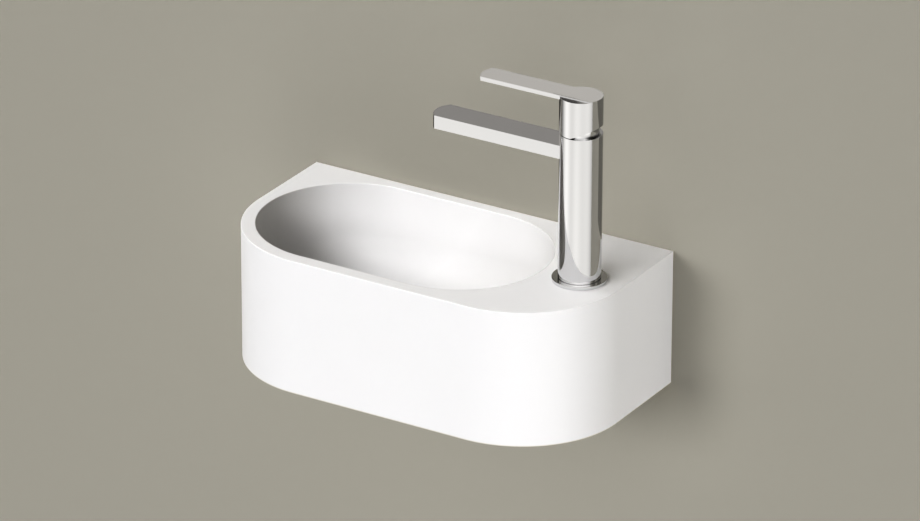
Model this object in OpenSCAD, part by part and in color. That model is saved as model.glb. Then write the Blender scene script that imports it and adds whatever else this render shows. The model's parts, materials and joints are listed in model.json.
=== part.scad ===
// Wall-hung hand basin with a bowl to the left and a single-lever mixer tap on the deck to the right.
// All sizes are in millimetres. +Z is up, +X is to the right and the front faces -Y.
// The origin lies on the wall plane, halfway between the two wall bolt holes.

/* [Basin body] */
// Width along the wall
basin_width = 350; // [345:1:420]
// Depth out from the wall
basin_depth = 183; // [175:1:210]
// Height from the bottom edge to the rim
basin_height = 121; // [118:1:150]
// Plan radius of the two front corners
corner_radius = 91.5; // [70:0.5:91.5]
// Thickness of the front and side skirt
skirt_wall = 12; // [8:0.5:13]
// Thickness of the back wall that the wall bolts clamp
back_wall = 11; // [9:0.5:15]
// Thickness of the deck under the tap
deck_thickness = 13; // [10:0.5:18]

/* [Bowl] */
// Rim between the bowl and the front face
bowl_front_wall = 13; // [12:0.5:18]
// Rim between the bowl and the wall
bowl_back_wall = 11; // [9:0.5:16]
// Rim between the bowl and the left side
bowl_left_wall = 12; // [10:0.5:20]
// Width of the flat deck to the right of the bowl
deck_width = 73.5; // [72:0.5:80]
// Depth of the bowl below the rim
bowl_depth = 82; // [76:1:84]
// Radius of the sweep from the bowl's wall into its floor
bowl_sweep = 40; // [25:1:44]
// Fall of the floor towards the waste
floor_fall = 2; // [1:0.5:3]
// Thickness of the bowl's shell
shell_thickness = 10; // [8:0.5:11]

/* [Wall fixing] */
// Height of the bolt holes above the bottom edge
bolt_height = 18; // [16:0.5:20]
// Distance between the two bolt holes
bolt_spacing = 220; // [180:5:230]
// Diameter of the bolt holes
bolt_hole = 12; // [10:0.5:14]

/* [Waste] */
// Hole through the bowl's floor
drain_hole = 46; // [45:0.5:50]
// Depth of the recess that the waste flange sits in
waste_seat_depth = 2.5; // [2:0.1:3.5]
// Thickness of the floor under the waste flange
drain_floor = 10; // [8:0.5:12]
// Width of the flat boss that the back nut pulls against
drain_boss = 72; // [68:1:80]
// Flange diameter
flange_diameter = 64; // [62:0.5:66]
// Flange thickness
flange_thickness = 2.2; // [1.8:0.1:3]
// Outside diameter of the threaded tail
tail_diameter = 41.9; // [41:0.1:42.5]
// Inside diameter of the tail
tail_bore = 35; // [32:0.5:37]
// Length of the tail below the flange
tail_length = 58; // [50:1:75]
// Thickness of the gasket between flange and basin
top_gasket = 1.5; // [1:0.1:2]
// Thickness of the rubber gasket under the basin
under_gasket = 3; // [2:0.5:5]
// Thickness of the slip washer on the back nut
slip_washer = 1.5; // [1:0.1:3]
// Height of the back nut
waste_nut_height = 8; // [6:0.5:12]
// Width of the back nut across its flats
waste_nut_flats = 54; // [50:1:60]
// Diameter of the lift-out cover
cover_diameter = 62; // [56:0.5:64]
// Water gap between the flange and the cover
cover_gap = 4; // [3:0.5:6]
// Diameter of the cover's stem
cover_stem = 6; // [5:0.5:8]

/* [Tap place] */
// From the right side of the basin to the tap's axis
tap_from_side = 38; // [36.5:0.5:39]
// From the wall to the tap's axis
tap_from_wall = 89.5; // [80:0.5:100]
// Hole through the deck for the tap
tap_hole = 35; // [33:0.5:38]

/* [Tap body] */
// Diameter of the column
body_diameter = 36; // [35:0.5:40]
// Height of the column's top edge above the deck
body_height = 131.4; // [100:0.2:180]
// Diameter of the ring at the foot
ring_diameter = 46; // [44:0.5:50]
// Height of the ring at the foot
ring_height = 3; // [2.5:0.1:5]
// Height of the dark joint line between ring and column
foot_joint = 0.6; // [0.3:0.1:1.5]
// Thread diameter of the two hose inlets
inlet_thread = 9.5; // [8:0.1:10]
// Depth of the hose inlets
inlet_depth = 12; // [8:1:18]
// Diameter of the two water ways
water_way = 5; // [4:0.5:6]

/* [Spout] */
// Reach from the tap's axis to the tip
spout_reach = 137.5; // [110:0.5:170]
// Width of the spout
spout_width = 26.4; // [24:0.2:30]
// Height of the spout's section
spout_height = 11.7; // [11:0.1:15]
// Height of the spout's top above the deck
spout_top = 121.3; // [112:0.1:121.6]
// Radius of the curved tips of spout and lever
tip_radius = 18; // [14:0.5:30]
// Width of the water channel
channel_width = 17; // [12:0.5:19]
// Height of the water channel
channel_height = 6; // [4:0.5:7]
// Thread diameter of the aerator
aerator_thread = 18.5; // [16:0.1:20]
// Height of the aerator
aerator_height = 7; // [5:0.5:8]

/* [Cap and lever] */
// Gap between the column and the cap at the lever's side
cap_gap = 0.8; // [0.6:0.1:1.5]
// Height of the lever's top above the deck
lever_top = 164.5; // [160:0.1:175]
// Reach from the tap's axis to the lever's tip
lever_reach = 92.8; // [70:0.1:130]
// Width of the lever
lever_width = 21.4; // [16:0.2:28]
// Thickness of the lever
lever_thickness = 3.6; // [3:0.1:6]
// How far the lever stands above the cap's shoulders
shoulder_drop = 1; // [0.5:0.1:2]
// Wall thickness of the cap
cap_wall = 1.6; // [1.2:0.1:1.8]
// Angle of the slanting cut under the cap
cap_cut_angle = 23.5; // [23.5:0.5:28]
// Largest angle that the lever lifts to
lift_angle = 22; // [10:1:22]

/* [Cartridge] */
// Outside diameter of the housing
housing_diameter = 25; // [24.6:0.1:25]
// Wall of the housing
housing_wall = 1.6; // [1.4:0.1:1.8]
// Height of the lever's pivot above the column's top
pivot_height = 3; // [3:0.5:4]
// Drop from the pivot to the ball that moves the disc
ball_drop = 10; // [10:0.1:10.4]
// Width of the square stem
stem_width = 7; // [6:0.1:7]
// Radius of the round neck that the cap tilts over
neck_radius = 15.2; // [15.1:0.1:15.4]

/* [Deck fixing] */
// Diameter of the stud
stud_diameter = 8; // [6:0.5:8]
// Length of the stud below the deck's top
stud_drop = 63; // [50:1:80]
// Outside diameter of the horseshoe clamp
clamp_diameter = 44; // [42:0.5:45]
// Thickness of the steel clamp
clamp_thickness = 2.5; // [2:0.1:4]
// Thickness of the rubber under the deck
deck_rubber_thickness = 3; // [2:0.5:4]
// Height of the stud's nut
stud_nut_height = 6.5; // [5:0.5:10]
// Width of the stud's nut across its flats
stud_nut_flats = 13; // [12:0.5:14]

/* [Hidden] */
$fn = 96;

// Small clearances and the overlap that lets one cut run clean past a face
cut = 1;
run_fit = 0.05;
slip_fit = 0.1;
rest_gap = 0.2;

// Heights
rim_z = basin_height - bolt_height;
base_z = -bolt_height;
deck_under_z = rim_z - deck_thickness;
floor_z = rim_z - bowl_depth;
seat_z = floor_z - floor_fall - waste_seat_depth;
boss_z = seat_z - drain_floor;

// Bowl plan: a long shape with half-round ends, parallel to the wall
bowl_radius = (basin_depth - bowl_front_wall - bowl_back_wall) / 2;
bowl_y = -bowl_back_wall - bowl_radius;
bowl_left_x = -basin_width / 2 + bowl_left_wall + bowl_radius;
bowl_right_x = basin_width / 2 - deck_width - bowl_radius;
sweep = min(bowl_sweep, bowl_radius - drain_boss / 2);
floor_flat = bowl_radius - sweep;

// Waste stack, from the seat upwards and from the boss downwards
waste_x = (bowl_left_x + bowl_right_x) / 2;
flange_z = seat_z + top_gasket;
flange_top_z = flange_z + flange_thickness;
tail_radius = tail_diameter / 2;
tail_play = 0.25;
ring_bore = tail_radius + tail_play;
washer_z = boss_z - under_gasket;
waste_nut_z = washer_z - slip_washer;
tail_end_z = flange_z - tail_length;
gasket_inset = 0.5;
gasket_radius = flange_diameter / 2 - gasket_inset;
hub_wall = 3;
hub_radius = cover_stem / 2 + hub_wall;
hub_drop = 3;
hub_top_z = flange_z - hub_drop;
hub_height = 10;
spoke_width = 3;
spoke_count = 3;
spoke_drop = 2;
relief_height = 1.5;
relief_depth = 0.6;
cover_z = flange_top_z + cover_gap;
cover_edge = 1.5;
cover_crown = 1.3;
collar_step = 0.5;
seat_play = 1;

// Tap
tap_x = basin_width / 2 - tap_from_side;
tap_y = -tap_from_wall;
body_radius = body_diameter / 2;
spigot_play = 1.6;
spigot_radius = tap_hole / 2 - spigot_play;
spigot_depth = 6;
spigot_z = rim_z - spigot_depth;
ring_top_z = rim_z + ring_height;
seam_z = rim_z + body_height;
inlet_x = 5;
inlet_y = 7.5;
way_x = 4;
way_y = 6;
stud_x = -8;
stud_hold = 10;
chamber_wall = 3.8;
body_bore = body_radius - chamber_wall;
foot_step = 0.6;
seal_groove_width = 3;
seal_groove_depth = 1.8;
seal_groove_edge = 2;

// Cartridge, measured from the top of the column
pivot_z = seam_z + pivot_height;
ball_radius = 1.9;
ball_z = pivot_z - ball_drop;
ball_sink = 1.05;
disc_top_z = ball_z + ball_sink;
disc_height = 5;
disc_gap = 0.05;
fixed_disc_height = 4;
fixed_disc_z = disc_top_z - disc_height - disc_gap - fixed_disc_height;
housing_base = 4;
housing_z = fixed_disc_z - housing_base;
seal_height = 1;
cartridge_floor_z = housing_z - seal_height;
housing_radius = housing_diameter / 2;
housing_bore = housing_radius - housing_wall;
rotor_gap = 0.35;
rotor_z = disc_top_z + rotor_gap;
rotor_rise = 3.5;
rotor_top_z = pivot_z + rotor_rise;
rotor_air = 0.3;
housing_top_z = rotor_top_z + rotor_air;
dome_plate_z = housing_top_z + rest_gap;
dome_plate = 2;
dome_top_z = dome_plate_z + dome_plate;
dome_opening = 8.5;
nut_drop = 8;
nut_collar_z = seam_z - nut_drop;
collar_height = 2;
nut_rise = 4;
nut_step = 0.55;
disc_radius = 7.5;
disc_offset = 1.8;
moving_pocket = 1;
pocket_wall = 2.7;
ball_socket_depth = 3.2;
ball_play = 0.3;
way_radius = 2.2;
outlet_x = -6;
outlet_radius = 2.6;
pin_radius = 1.5;
pin_inset = 0.9;
pin_half = housing_bore - pin_inset;

// Spout
spout_top_z = rim_z + spout_top;
spout_bottom_z = spout_top_z - spout_height;
channel_z = spout_top_z - (spout_height - channel_height) / 2;
aerator_x = -spout_reach + tip_radius;
aerator_radius = aerator_thread / 2;
aerator_recess = 0.3;
sleeve_wall = 1.75;
key_slot_depth = 1.2;
key_slot_air = 0.2;
tenon_side = 1.5;
tenon_width = channel_width + 2 * tenon_side;
tenon_cover = 1.2;
tenon_height = channel_height + 2 * tenon_cover;

// Cap and lever
cap_z = seam_z + cap_gap;
lever_top_z = rim_z + lever_top;
shoulder_z = lever_top_z - shoulder_drop;
cap_bore = body_radius - cap_wall;
ceiling_thickness = 2.4;
ceiling_z = lever_top_z - lever_thickness - ceiling_thickness;
boss_wall = 4;
boss_radius = stem_width / 2 + boss_wall;
boss_air = 5.5;
boss_bottom_z = dome_top_z + boss_air;
stem_air = 3;
stem_top_z = ceiling_z - stem_air;
stem_square_drop = 5;
grub_z = (boss_bottom_z + stem_top_z) / 2;
grub_radius = 2.5;
plug_radius = 3;
grub_socket = 1.45;
grub_socket_depth = 2;

// Deck fixing
stud_radius = stud_diameter / 2;
stud_end_z = rim_z - stud_drop;
clamp_z = deck_under_z - deck_rubber_thickness - clamp_thickness;
stud_nut_z = clamp_z - stud_nut_height;
notch_half = 13;
notch_x = -2;
stud_slip = 0.4;

// Plan of the basin: square at the wall, two large round corners at the front
module basin_plan(inset) {
    half = basin_width / 2 - inset;
    front = basin_depth - inset;
    back = inset == 0 ? 0 : back_wall;
    corner = corner_radius - inset;
    intersection() {
        translate([-half, -front])
            square([2 * half, front - back]);
        union() {
            translate([-half, -front + corner])
                square([2 * half, front]);
            translate([-half + corner, -front])
                square([2 * (half - corner), front]);
            for (side = [-1, 1])
                translate([side * (half - corner), -front + corner])
                    circle(corner);
        }
    }
}

// Half section of the bowl from its middle line out, with a swept lower corner
module bowl_section(grow) {
    radius = bowl_radius + grow;
    corner = sweep + grow;
    depth = bowl_depth + grow;
    translate([0, -depth])
        square([radius - corner, depth + cut]);
    translate([0, corner - depth])
        square([radius, depth - corner + cut]);
    translate([radius - corner, corner - depth])
        intersection() {
            circle(corner);
            translate([0, -corner])
                square(corner);
        }
}

// The bowl's form: two half-turned ends and a straight middle
module bowl_form(grow) {
    translate([bowl_left_x, bowl_y, rim_z])
        rotate([0, 0, 90])
            rotate_extrude(angle = 180)
                bowl_section(grow);
    translate([bowl_right_x, bowl_y, rim_z])
        rotate([0, 0, -90])
            rotate_extrude(angle = 180)
                bowl_section(grow);
    for (side = [0, 1])
        translate([bowl_left_x, bowl_y, rim_z])
            mirror([0, side, 0])
                rotate([90, 0, 90])
                    linear_extrude(bowl_right_x - bowl_left_x)
                        bowl_section(grow);
}

// Shallow dish in the floor that leads water to the waste
module floor_dish() {
    dish_radius = (pow(floor_flat, 2) + pow(floor_fall, 2)) / (2 * floor_fall);
    translate([waste_x, bowl_y, floor_z - floor_fall])
        rotate_extrude()
            intersection() {
                translate([0, dish_radius])
                    circle(dish_radius, $fn = 1440);
                square([floor_flat, floor_fall]);
            }
}

// Flat ring lying on the waste's axis
module waste_ring(bottom, height, outer, inner) {
    translate([waste_x, bowl_y, bottom])
        difference() {
            cylinder(h = height, r = outer);
            translate([0, 0, -cut])
                cylinder(h = height + 2 * cut, r = inner);
        }
}

// Places its children on the tap's axis at a height
module on_tap(z) {
    translate([tap_x, tap_y, z])
        children();
}

// Ring on the tap's axis
module tap_ring(bottom, height, outer, inner) {
    on_tap(bottom)
        difference() {
            cylinder(h = height, r = outer);
            translate([0, 0, -cut])
                cylinder(h = height + 2 * cut, r = inner);
        }
}

// Plan of a flat bar that leaves the tap's axis to the left and ends in a shallow arc
module bar_plan(reach, width) {
    translate([-reach + tip_radius, 0])
        intersection() {
            circle(tip_radius);
            translate([-tip_radius, -width / 2])
                square([tip_radius, width]);
        }
    translate([-reach + tip_radius, -width / 2])
        square([reach - tip_radius, width]);
}

// White glazed body, cast in one piece and open underneath
module basin_shell() {
    color("white")
        difference() {
            union() {
                difference() {
                    translate([0, 0, base_z])
                        linear_extrude(basin_height)
                            basin_plan(0);
                    difference() {
                        translate([0, 0, base_z - cut])
                            linear_extrude(deck_under_z - base_z + cut)
                                basin_plan(skirt_wall);
                        bowl_form(shell_thickness);
                    }
                }
                translate([waste_x, bowl_y, boss_z])
                    cylinder(h = floor_z - boss_z - cut, r = drain_boss / 2);
            }
            bowl_form(0);
            floor_dish();
            translate([waste_x, bowl_y, seat_z])
                cylinder(h = bowl_depth / 2, r = flange_diameter / 2 + seat_play);
            translate([waste_x, bowl_y, boss_z - cut])
                cylinder(h = bowl_depth, r = drain_hole / 2);
            on_tap(deck_under_z - cut)
                cylinder(h = deck_thickness + 2 * cut, r = tap_hole / 2);
            for (side = [-1, 1])
                translate([side * bolt_spacing / 2, cut, 0])
                    rotate([90, 0, 0])
                        cylinder(h = back_wall + 2 * cut, r = bolt_hole / 2);
        }
}

// Hub for the cover's stem and the three spokes that carry it, longer than the tail's bore is wide
module waste_hub() {
    translate([0, 0, hub_top_z - hub_height]) {
        cylinder(h = hub_height, r = hub_radius);
        for (i = [0 : spoke_count - 1])
            rotate([0, 0, i * 360 / spoke_count])
                translate([0, -spoke_width / 2, 0])
                    cube([tail_radius, spoke_width, hub_height - spoke_drop]);
    }
}

// Chromed brass flange with its threaded tail, and a hub on three spokes for the cover
module waste_flange() {
    relief_z = waste_nut_z - waste_nut_height - cut - relief_height;
    color("silver")
        translate([waste_x, bowl_y, 0])
            difference() {
                union() {
                    translate([0, 0, flange_z])
                        cylinder(h = flange_thickness, r = flange_diameter / 2);
                    translate([0, 0, tail_end_z])
                        cylinder(h = tail_length, r = tail_radius);
                }
                difference() {
                    translate([0, 0, tail_end_z - cut])
                        cylinder(h = tail_length + flange_thickness + 2 * cut, r = tail_bore / 2);
                    waste_hub();
                }
                translate([0, 0, tail_end_z])
                    cylinder(h = tail_length, r = cover_stem / 2 + run_fit);
                translate([0, 0, relief_z])
                    difference() {
                        cylinder(h = relief_height, r = tail_radius + cut);
                        translate([0, 0, -cut])
                            cylinder(h = relief_height + 2 * cut, r = tail_radius - relief_depth);
                    }
            }
}

// Shallow domed cover that lifts out for cleaning
module waste_cover() {
    radius = cover_diameter / 2;
    dome = (pow(radius, 2) + pow(cover_crown, 2)) / (2 * cover_crown);
    color("silver")
        translate([waste_x, bowl_y, 0]) {
            translate([0, 0, cover_z])
                cylinder(h = cover_edge, r = radius);
            translate([0, 0, cover_z + cover_edge])
                rotate_extrude()
                    intersection() {
                        translate([0, cover_crown - dome])
                            circle(dome, $fn = 1440);
                        square([radius, cover_crown + cut]);
                    }
            translate([0, 0, hub_top_z + rest_gap])
                cylinder(h = cover_z - hub_top_z - rest_gap, r = hub_radius - collar_step);
            translate([0, 0, hub_top_z - hub_height + cut])
                cylinder(h = cover_z - hub_top_z + hub_height - cut, r = cover_stem / 2);
        }
}

module waste_top_gasket() {
    color("dimgray")
        waste_ring(seat_z, top_gasket, gasket_radius, ring_bore);
}

module waste_under_gasket() {
    color("dimgray")
        waste_ring(washer_z, under_gasket, gasket_radius, ring_bore);
}

module waste_washer() {
    color("ivory")
        waste_ring(waste_nut_z, slip_washer, gasket_radius, ring_bore);
}

// Brass back nut with six flats and a round flange against the washer
module waste_nut() {
    nut_flange = 2;
    color("goldenrod")
        translate([waste_x, bowl_y, waste_nut_z - waste_nut_height])
            difference() {
                union() {
                    cylinder(h = waste_nut_height, r = waste_nut_flats / sqrt(3), $fn = 6);
                    translate([0, 0, waste_nut_height - nut_flange])
                        cylinder(h = nut_flange, r = gasket_radius - gasket_inset);
                }
                translate([0, 0, -cut])
                    cylinder(h = waste_nut_height + 2 * cut, r = tail_radius + run_fit);
            }
}

// Chromed column with two water ways, a cartridge chamber and a port for the spout
module tap_body() {
    color("lightsteelblue")
        difference() {
            union() {
                on_tap(spigot_z)
                    cylinder(h = ring_top_z - spigot_z, r = spigot_radius);
                on_tap(ring_top_z)
                    cylinder(h = foot_joint, r = body_radius - foot_step);
                on_tap(ring_top_z + foot_joint)
                    cylinder(h = seam_z - ring_top_z - foot_joint, r = body_radius);
            }
            on_tap(cartridge_floor_z)
                cylinder(h = seam_z - cartridge_floor_z + cut, r = body_bore);
            for (side = [-1, 1]) {
                on_tap(spigot_z - cut)
                    translate([inlet_x, side * inlet_y, 0])
                        cylinder(h = inlet_depth + cut, r = inlet_thread / 2);
                on_tap(spigot_z + inlet_depth - cut)
                    translate([way_x, side * way_y, 0])
                        cylinder(h = cartridge_floor_z - spigot_z - inlet_depth + 2 * cut, r = water_way / 2);
            }
            on_tap(spigot_z - cut)
                translate([stud_x, 0, 0])
                    cylinder(h = stud_hold + cut, r = stud_radius + run_fit);
            spout_tenon(body_radius + cut, 0);
        }
}

// The part of the spout that passes through the column's wall
module spout_tenon(outer, inset) {
    on_tap(channel_z - channel_height / 2)
        difference() {
            translate([-outer, -tenon_width / 2 + inset, -tenon_height / 2 + inset])
                cube([outer, tenon_width - 2 * inset, tenon_height - 2 * inset]);
            translate([0, 0, -tenon_height])
                cylinder(h = 2 * tenon_height, r = body_bore);
        }
}

// Flat spout with square edges, hollow inside, and an aerator thread under its tip
module spout() {
    color("lightsteelblue")
        difference() {
            union() {
                difference() {
                    on_tap(spout_bottom_z)
                        linear_extrude(spout_height)
                            bar_plan(spout_reach, spout_width);
                    on_tap(spout_bottom_z - cut)
                        cylinder(h = spout_height + 2 * cut, r = body_radius);
                }
                spout_tenon(body_radius + cut, 0);
            }
            on_tap(channel_z - channel_height)
                translate([aerator_x, -channel_width / 2, 0])
                    cube([-aerator_x, channel_width, channel_height]);
            on_tap(spout_bottom_z - cut)
                translate([aerator_x, 0, 0])
                    cylinder(h = channel_z - spout_bottom_z + cut, r = aerator_radius);
        }
}

// Low ring that hides the deck hole, with a groove for its seal underneath
module base_ring() {
    round_edge = 1;
    radius = ring_diameter / 2;
    color("lightsteelblue")
        on_tap(rim_z)
            rotate_extrude()
                difference() {
                    union() {
                        square([radius - round_edge, ring_height]);
                        square([radius, ring_height - round_edge]);
                        translate([radius - round_edge, ring_height - round_edge])
                            circle(round_edge);
                    }
                    square([spigot_radius + slip_fit, ring_height]);
                    translate([radius - seal_groove_edge - seal_groove_width, 0])
                        square([seal_groove_width, seal_groove_depth]);
                }
}

module base_seal() {
    outer = ring_diameter / 2 - seal_groove_edge;
    color("dimgray")
        tap_ring(rim_z, seal_groove_depth, outer - slip_fit, outer - seal_groove_width + slip_fit);
}

// Threaded sleeve of the aerator, with four key slots
module aerator_housing() {
    slot_width = 2;
    color("silver")
        on_tap(spout_bottom_z + aerator_recess)
            translate([aerator_x, 0, 0])
                difference() {
                    cylinder(h = aerator_height, r = aerator_radius - run_fit);
                    translate([0, 0, -cut])
                        cylinder(h = aerator_height + 2 * cut, r = aerator_radius - sleeve_wall);
                    for (i = [0, 1])
                        rotate([0, 0, i * 90])
                            translate([-aerator_thread / 2, -slot_width / 2, -cut])
                                cube([aerator_thread, slot_width, key_slot_depth + cut]);
                }
}

// Screen that breaks the water into a soft stream
module aerator_screen() {
    screen_height = 4;
    pitch = 1.6;
    mesh = 1.1;
    radius = aerator_radius - sleeve_wall - run_fit;
    rows = floor((radius - 1) / pitch);
    color("gainsboro")
        on_tap(spout_bottom_z + aerator_recess + key_slot_depth + key_slot_air)
            translate([aerator_x, 0, 0])
                difference() {
                    cylinder(h = screen_height, r = radius);
                    for (i = [-rows : rows], j = [-rows : rows])
                        if (norm([i, j]) * pitch < radius - 1)
                            translate([i * pitch - mesh / 2, j * pitch - mesh / 2, -cut])
                                cube([mesh, mesh, screen_height + 2 * cut]);
                }
}

// Plastic housing of the ceramic-disc cartridge
module cartridge_housing() {
    collar_radius = body_bore - slip_fit;
    color("whitesmoke")
        on_tap(housing_z)
            difference() {
                union() {
                    cylinder(h = housing_top_z - housing_z, r = housing_radius);
                    translate([0, 0, nut_collar_z - collar_height - housing_z])
                        cylinder(h = collar_height, r = collar_radius);
                }
                translate([0, 0, housing_base])
                    cylinder(h = housing_top_z - housing_z, r = housing_bore);
                for (side = [-1, 1])
                    translate([way_x, side * way_y, -cut])
                        cylinder(h = housing_base + 2 * cut, r = water_way / 2);
                translate([outlet_x, 0, -cut])
                    cylinder(h = housing_base + 2 * cut, r = outlet_radius);
                translate([-housing_radius - cut, -outlet_radius, -cut])
                    cube([housing_radius + cut + outlet_x, 2 * outlet_radius, 2 + cut]);
            }
}

// Two rubber rings that seal the water ways against the housing
module inlet_seals() {
    color("dimgray")
        for (side = [-1, 1])
            on_tap(cartridge_floor_z)
                translate([way_x, side * way_y, 0])
                    difference() {
                        cylinder(h = seal_height, r = water_way / 2 + 1.5);
                        translate([0, 0, -cut])
                            cylinder(h = seal_height + 2 * cut, r = water_way / 2 + slip_fit);
                    }
}

// Lower ceramic disc with the two inlets and the outlet
module fixed_disc() {
    color("floralwhite")
        on_tap(fixed_disc_z)
            difference() {
                cylinder(h = fixed_disc_height, r = housing_bore - slip_fit);
                for (side = [-1, 1])
                    translate([way_x, side * way_y, -cut])
                        cylinder(h = fixed_disc_height + 2 * cut, r = way_radius);
                translate([outlet_x, 0, -cut])
                    cylinder(h = fixed_disc_height + 2 * cut, r = outlet_radius);
            }
}

// Upper ceramic disc: a mixing pocket below and a socket above for the stem's ball
module moving_disc() {
    color("floralwhite")
        on_tap(disc_top_z - disc_height)
            difference() {
                translate([disc_offset, 0, 0])
                    cylinder(h = disc_height, r = disc_radius);
                translate([disc_offset, 0, -cut])
                    cylinder(h = moving_pocket + cut, r = disc_radius - pocket_wall);
                translate([0, 0, disc_height - ball_socket_depth])
                    cylinder(h = ball_socket_depth + cut, r = ball_radius + ball_play);
            }
}

// Carrier that turns with the lever and holds its pivot pin
module rotor() {
    slot_back = 5.5;
    slot_front = 6;
    slot_play = 0.15;
    slot_half = stem_width / 2 + slot_play;
    color("whitesmoke")
        on_tap(0)
            difference() {
                translate([0, 0, rotor_z])
                    cylinder(h = rotor_top_z - rotor_z, r = housing_bore - slip_fit);
                translate([-slot_front, -slot_half, rotor_z - cut])
                    cube([slot_front + slot_back, 2 * slot_half, rotor_top_z - rotor_z + 2 * cut]);
                translate([0, pin_half, pivot_z])
                    rotate([90, 0, 0])
                        cylinder(h = 2 * pin_half, r = pin_radius);
            }
}

module pivot_pin() {
    color("gray")
        on_tap(pivot_z)
            translate([0, pin_half, 0])
                rotate([90, 0, 0])
                    cylinder(h = 2 * pin_half, r = pin_radius);
}

// Square stem from the cap down to the ball that moves the disc
module lever_stem() {
    square_z = pivot_z - stem_square_drop;
    color("goldenrod")
        on_tap(0)
            difference() {
                union() {
                    translate([-stem_width / 2, -stem_width / 2, square_z])
                        cube([stem_width, stem_width, stem_top_z - square_z]);
                    translate([0, 0, ball_z])
                        cylinder(h = square_z - ball_z + cut, r = ball_radius);
                    translate([0, 0, ball_z])
                        sphere(ball_radius);
                }
                translate([0, stem_width, pivot_z])
                    rotate([90, 0, 0])
                        cylinder(h = 2 * stem_width, r = pin_radius + run_fit);
            }
}

// Brass ring nut that clamps the cartridge by its collar
module retaining_nut() {
    nut_bore = housing_radius + slip_fit;
    color("goldenrod") {
        tap_ring(nut_collar_z, seam_z - nut_collar_z, body_bore - run_fit, nut_bore);
        tap_ring(seam_z, nut_rise, body_bore - nut_step, nut_bore);
    }
}

// Chromed cover over the nut, part of a ball about the lever's pivot
module neck_dome() {
    inner = body_bore - nut_step + run_fit;
    color("lightsteelblue")
        on_tap(0)
            difference() {
                intersection() {
                    translate([0, 0, pivot_z])
                        sphere(neck_radius);
                    translate([0, 0, seam_z])
                        cylinder(h = dome_top_z - seam_z, r = neck_radius + cut);
                }
                translate([0, 0, seam_z - cut])
                    cylinder(h = nut_rise + rest_gap + cut, r = inner);
                translate([0, 0, seam_z])
                    cylinder(h = dome_plate_z - seam_z, r = housing_radius + slip_fit);
                translate([0, 0, seam_z])
                    cylinder(h = dome_top_z - seam_z + cut, r = dome_opening);
            }
}

// Cap and lever in one piece: the bar runs across the cap's top and the cap is cut on a slant below
module lever_cap() {
    color("lightsteelblue")
        difference() {
            union() {
                difference() {
                    on_tap(cap_z)
                        cylinder(h = shoulder_z - cap_z, r = body_radius);
                    on_tap(cap_z - cut)
                        cylinder(h = ceiling_z - cap_z + cut, r = cap_bore);
                }
                on_tap(lever_top_z - lever_thickness)
                    linear_extrude(lever_thickness) {
                        bar_plan(lever_reach, lever_width);
                        intersection() {
                            circle(body_radius);
                            translate([0, -lever_width / 2])
                                square([body_radius, lever_width]);
                        }
                    }
                on_tap(boss_bottom_z)
                    cylinder(h = ceiling_z - boss_bottom_z + cut, r = boss_radius);
            }
            on_tap(cap_z)
                rotate([0, -cap_cut_angle, 0])
                    translate([0, -body_diameter, -body_diameter])
                        cube([2 * body_diameter, 2 * body_diameter, body_diameter]);
            on_tap(boss_bottom_z - cut)
                translate([-stem_width / 2 - run_fit, -stem_width / 2 - run_fit, 0])
                    cube([stem_width + 2 * run_fit, stem_width + 2 * run_fit, stem_top_z - boss_bottom_z + cut]);
            on_tap(grub_z)
                rotate([0, -90, 0]) {
                    cylinder(h = boss_radius + cut, r = grub_radius);
                    translate([0, 0, boss_radius + cut])
                        cylinder(h = body_radius, r = plug_radius);
                }
        }
}

// Small screw with a hexagon socket that grips the stem
module grub_screw() {
    inner = stem_width / 2 + run_fit;
    color("gray")
        on_tap(grub_z)
            rotate([0, -90, 0])
                difference() {
                    translate([0, 0, inner])
                        cylinder(h = boss_radius - inner, r = grub_radius - run_fit);
                    translate([0, 0, boss_radius - grub_socket_depth])
                        cylinder(h = grub_socket_depth + cut, r = grub_socket, $fn = 6);
                }
}

// Push-in plug over the screw, flush with the cap
module indicator_plug() {
    color("crimson")
        intersection() {
            on_tap(grub_z)
                rotate([0, -90, 0])
                    translate([0, 0, cap_bore - cut])
                        cylinder(h = body_radius, r = plug_radius - run_fit);
            on_tap(cap_z)
                cylinder(h = shoulder_z - cap_z, r = body_radius);
        }
}

module mounting_stud() {
    color("gray")
        on_tap(stud_end_z)
            translate([stud_x, 0, 0])
                cylinder(h = spigot_z + stud_hold - stud_end_z, r = stud_radius);
}

// Horseshoe that slips past the hoses and takes the stud
module horseshoe(bottom, height) {
    on_tap(bottom)
        linear_extrude(height)
            difference() {
                circle(clamp_diameter / 2);
                translate([notch_x, -notch_half])
                    square([clamp_diameter, 2 * notch_half]);
                translate([stud_x, 0])
                    circle(stud_radius + stud_slip);
            }
}

module deck_rubber() {
    color("dimgray")
        horseshoe(deck_under_z - deck_rubber_thickness, deck_rubber_thickness);
}

module deck_clamp() {
    color("gray")
        horseshoe(clamp_z, clamp_thickness);
}

module stud_nut() {
    color("goldenrod")
        on_tap(stud_nut_z)
            translate([stud_x, 0, 0])
                difference() {
                    cylinder(h = stud_nut_height, r = stud_nut_flats / sqrt(3), $fn = 6);
                    translate([0, 0, -cut])
                        cylinder(h = stud_nut_height + 2 * cut, r = stud_radius + run_fit);
                }
}

basin_shell();
waste_flange();
waste_cover();
waste_top_gasket();
waste_under_gasket();
waste_washer();
waste_nut();
tap_body();
spout();
base_ring();
base_seal();
aerator_housing();
aerator_screen();
cartridge_housing();
inlet_seals();
fixed_disc();
moving_disc();
rotor();
pivot_pin();
lever_stem();
retaining_nut();
neck_dome();
lever_cap();
grub_screw();
indicator_plug();
mounting_stud();
deck_rubber();
deck_clamp();
stud_nut();
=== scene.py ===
import json
import math

import bmesh
import bpy
from mathutils import Matrix, Vector


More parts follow.
